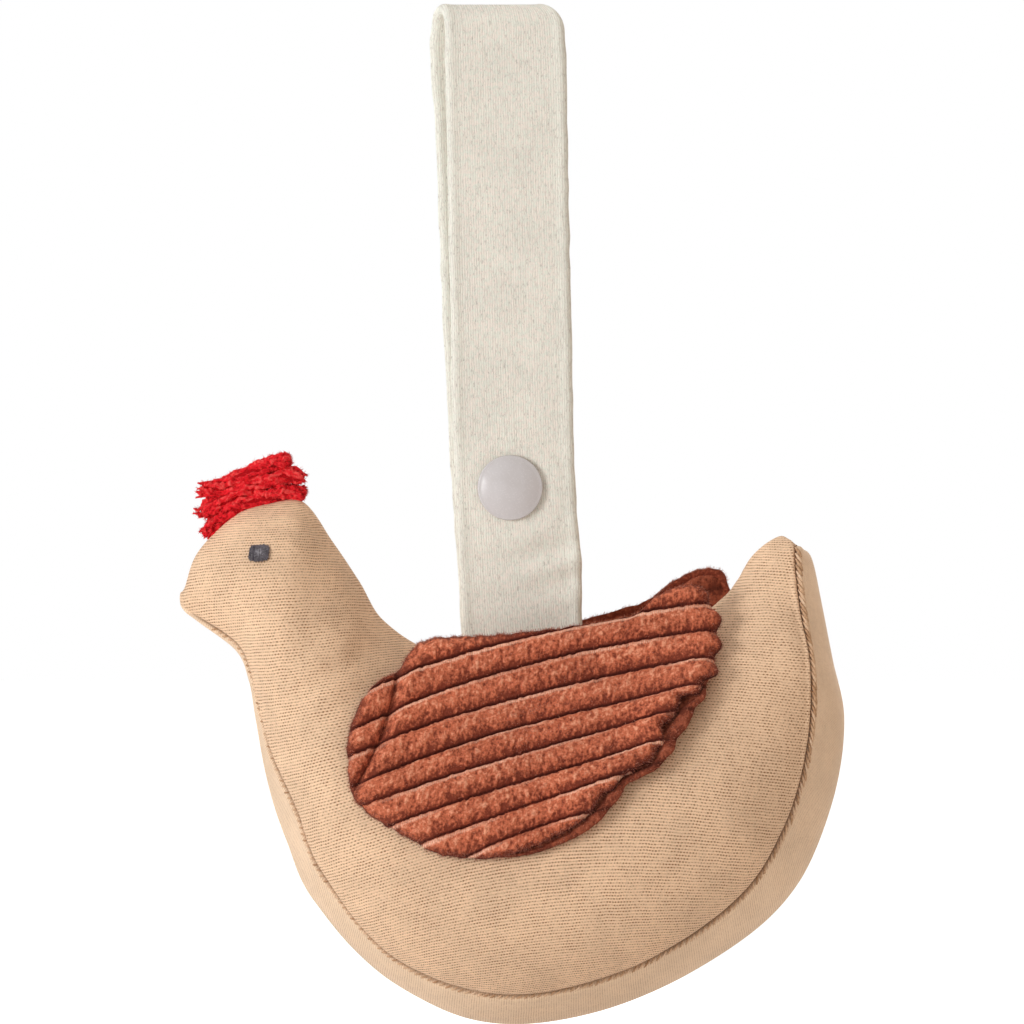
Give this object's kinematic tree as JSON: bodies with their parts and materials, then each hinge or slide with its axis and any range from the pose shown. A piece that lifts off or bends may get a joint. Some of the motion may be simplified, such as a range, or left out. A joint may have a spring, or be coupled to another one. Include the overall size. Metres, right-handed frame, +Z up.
{
  "type": "chicken rattle",
  "caption": "Stuffed knitted hen rattle with corduroy wings and a yarn comb, hanging from a wide fabric strap that loops over a bar and closes with a snap.",
  "frame": {"origin": "inner top of the strap's fold, where a bar or handle carries the toy", "axes": "+Z up; the hen's head points to -X and its left side faces -Y"},
  "size_m": [0.1259, 0.065, 0.1933],
  "materials": {
    "strap_knit": "matt ribbed knit, unbleached",
    "snap_plastic": "semi-gloss moulded",
    "body_knit": "matt single jersey knit",
    "gusset_knit": "matt fine jersey knit",
    "filling": "loose polyester fibre",
    "capsule_plastic": "matt moulded",
    "bead_plastic": "gloss moulded",
    "comb_yarn": "fuzzy looped yarn",
    "eye_thread": "satin stitch thread",
    "wing_corduroy": "cut pile jumbo corduroy",
    "wing_lining": "matt plain weave"
  },
  "bodies": {
    "strap": {"strap_band": "strap_knit", "snap_cap_front": "snap_plastic", "snap_socket": "snap_plastic"},
    "loose_end": {"strap_end": "strap_knit", "snap_stud": "snap_plastic", "snap_cap_back": "snap_plastic"},
    "hen": {"strap_sewn_end": "strap_knit", "side_panel_left": "body_knit", "side_panel_right": "body_knit", "gusset": "gusset_knit", "stuffing_head": "filling", "stuffing_body": "filling", "stuffing_tail": "filling", "rattle_shell_upper": "capsule_plastic", "rattle_shell_lower": "capsule_plastic", "comb_yarn_1": "comb_yarn", "comb_yarn_2": "comb_yarn", "comb_yarn_3": "comb_yarn", "eye_left": "eye_thread", "eye_right": "eye_thread", "wing_left_sewn_edge": "wing_corduroy", "wing_right_sewn_edge": "wing_corduroy"},
    "wing_left": {"wing_left_outer": "wing_corduroy", "wing_left_lining": "wing_lining"},
    "wing_right": {"wing_right_outer": "wing_corduroy", "wing_right_lining": "wing_lining"},
    "bead_1": {"rattle_bead_1": "bead_plastic"},
    "bead_2": {"rattle_bead_2": "bead_plastic"},
    "bead_3": {"rattle_bead_3": "bead_plastic"},
    "bead_4": {"rattle_bead_4": "bead_plastic"},
    "bead_5": {"rattle_bead_5": "bead_plastic"},
    "bead_6": {"rattle_bead_6": "bead_plastic"}
  },
  "joints": [
    {"name": "hen_swing", "type": "hinge", "parent": "strap", "child": "hen", "pos_m": [0.0036, 0, -0.1218], "axis": [1, 0, 0], "range_deg": [-40, 40]},
    {"name": "snap_open", "type": "hinge", "parent": "strap", "child": "loose_end", "pos_m": [0, 0.0058, -0.00415], "axis": [1, 0, 0], "range_deg": [0, 120]},
    {"name": "wing_left_flap", "type": "hinge", "parent": "hen", "child": "wing_left", "pos_m": [-0.0245, -0.02548, -0.13625], "axis": [-0.3, -0.4453, -0.8436], "range_deg": [0, 60], "stiffness_Nm_per_rad": 0.001},
    {"name": "wing_right_flap", "type": "hinge", "parent": "hen", "child": "wing_right", "pos_m": [-0.0245, 0.02548, -0.13625], "axis": [0.2566, -0.4476, 0.8567], "range_deg": [0, 60], "stiffness_Nm_per_rad": 0.001},
    {"name": "bead_1_rattle", "type": "slide", "parent": "hen", "child": "bead_1", "axis": [0, 0, 1], "range_m": [0, 0.0092]},
    {"name": "bead_2_rattle", "type": "slide", "parent": "hen", "child": "bead_2", "axis": [0, 0, 1], "range_m": [0, 0.0092]},
    {"name": "bead_3_rattle", "type": "slide", "parent": "hen", "child": "bead_3", "axis": [0, 0, 1], "range_m": [0, 0.0092]},
    {"name": "bead_4_rattle", "type": "slide", "parent": "hen", "child": "bead_4", "axis": [0, 0, 1], "range_m": [0, 0.0092]},
    {"name": "bead_5_rattle", "type": "slide", "parent": "hen", "child": "bead_5", "axis": [0, 0, 1], "range_m": [0, 0.0092]},
    {"name": "bead_6_rattle", "type": "slide", "parent": "hen", "child": "bead_6", "axis": [0, 0, 1], "range_m": [0, 0.0092]}
  ]
}
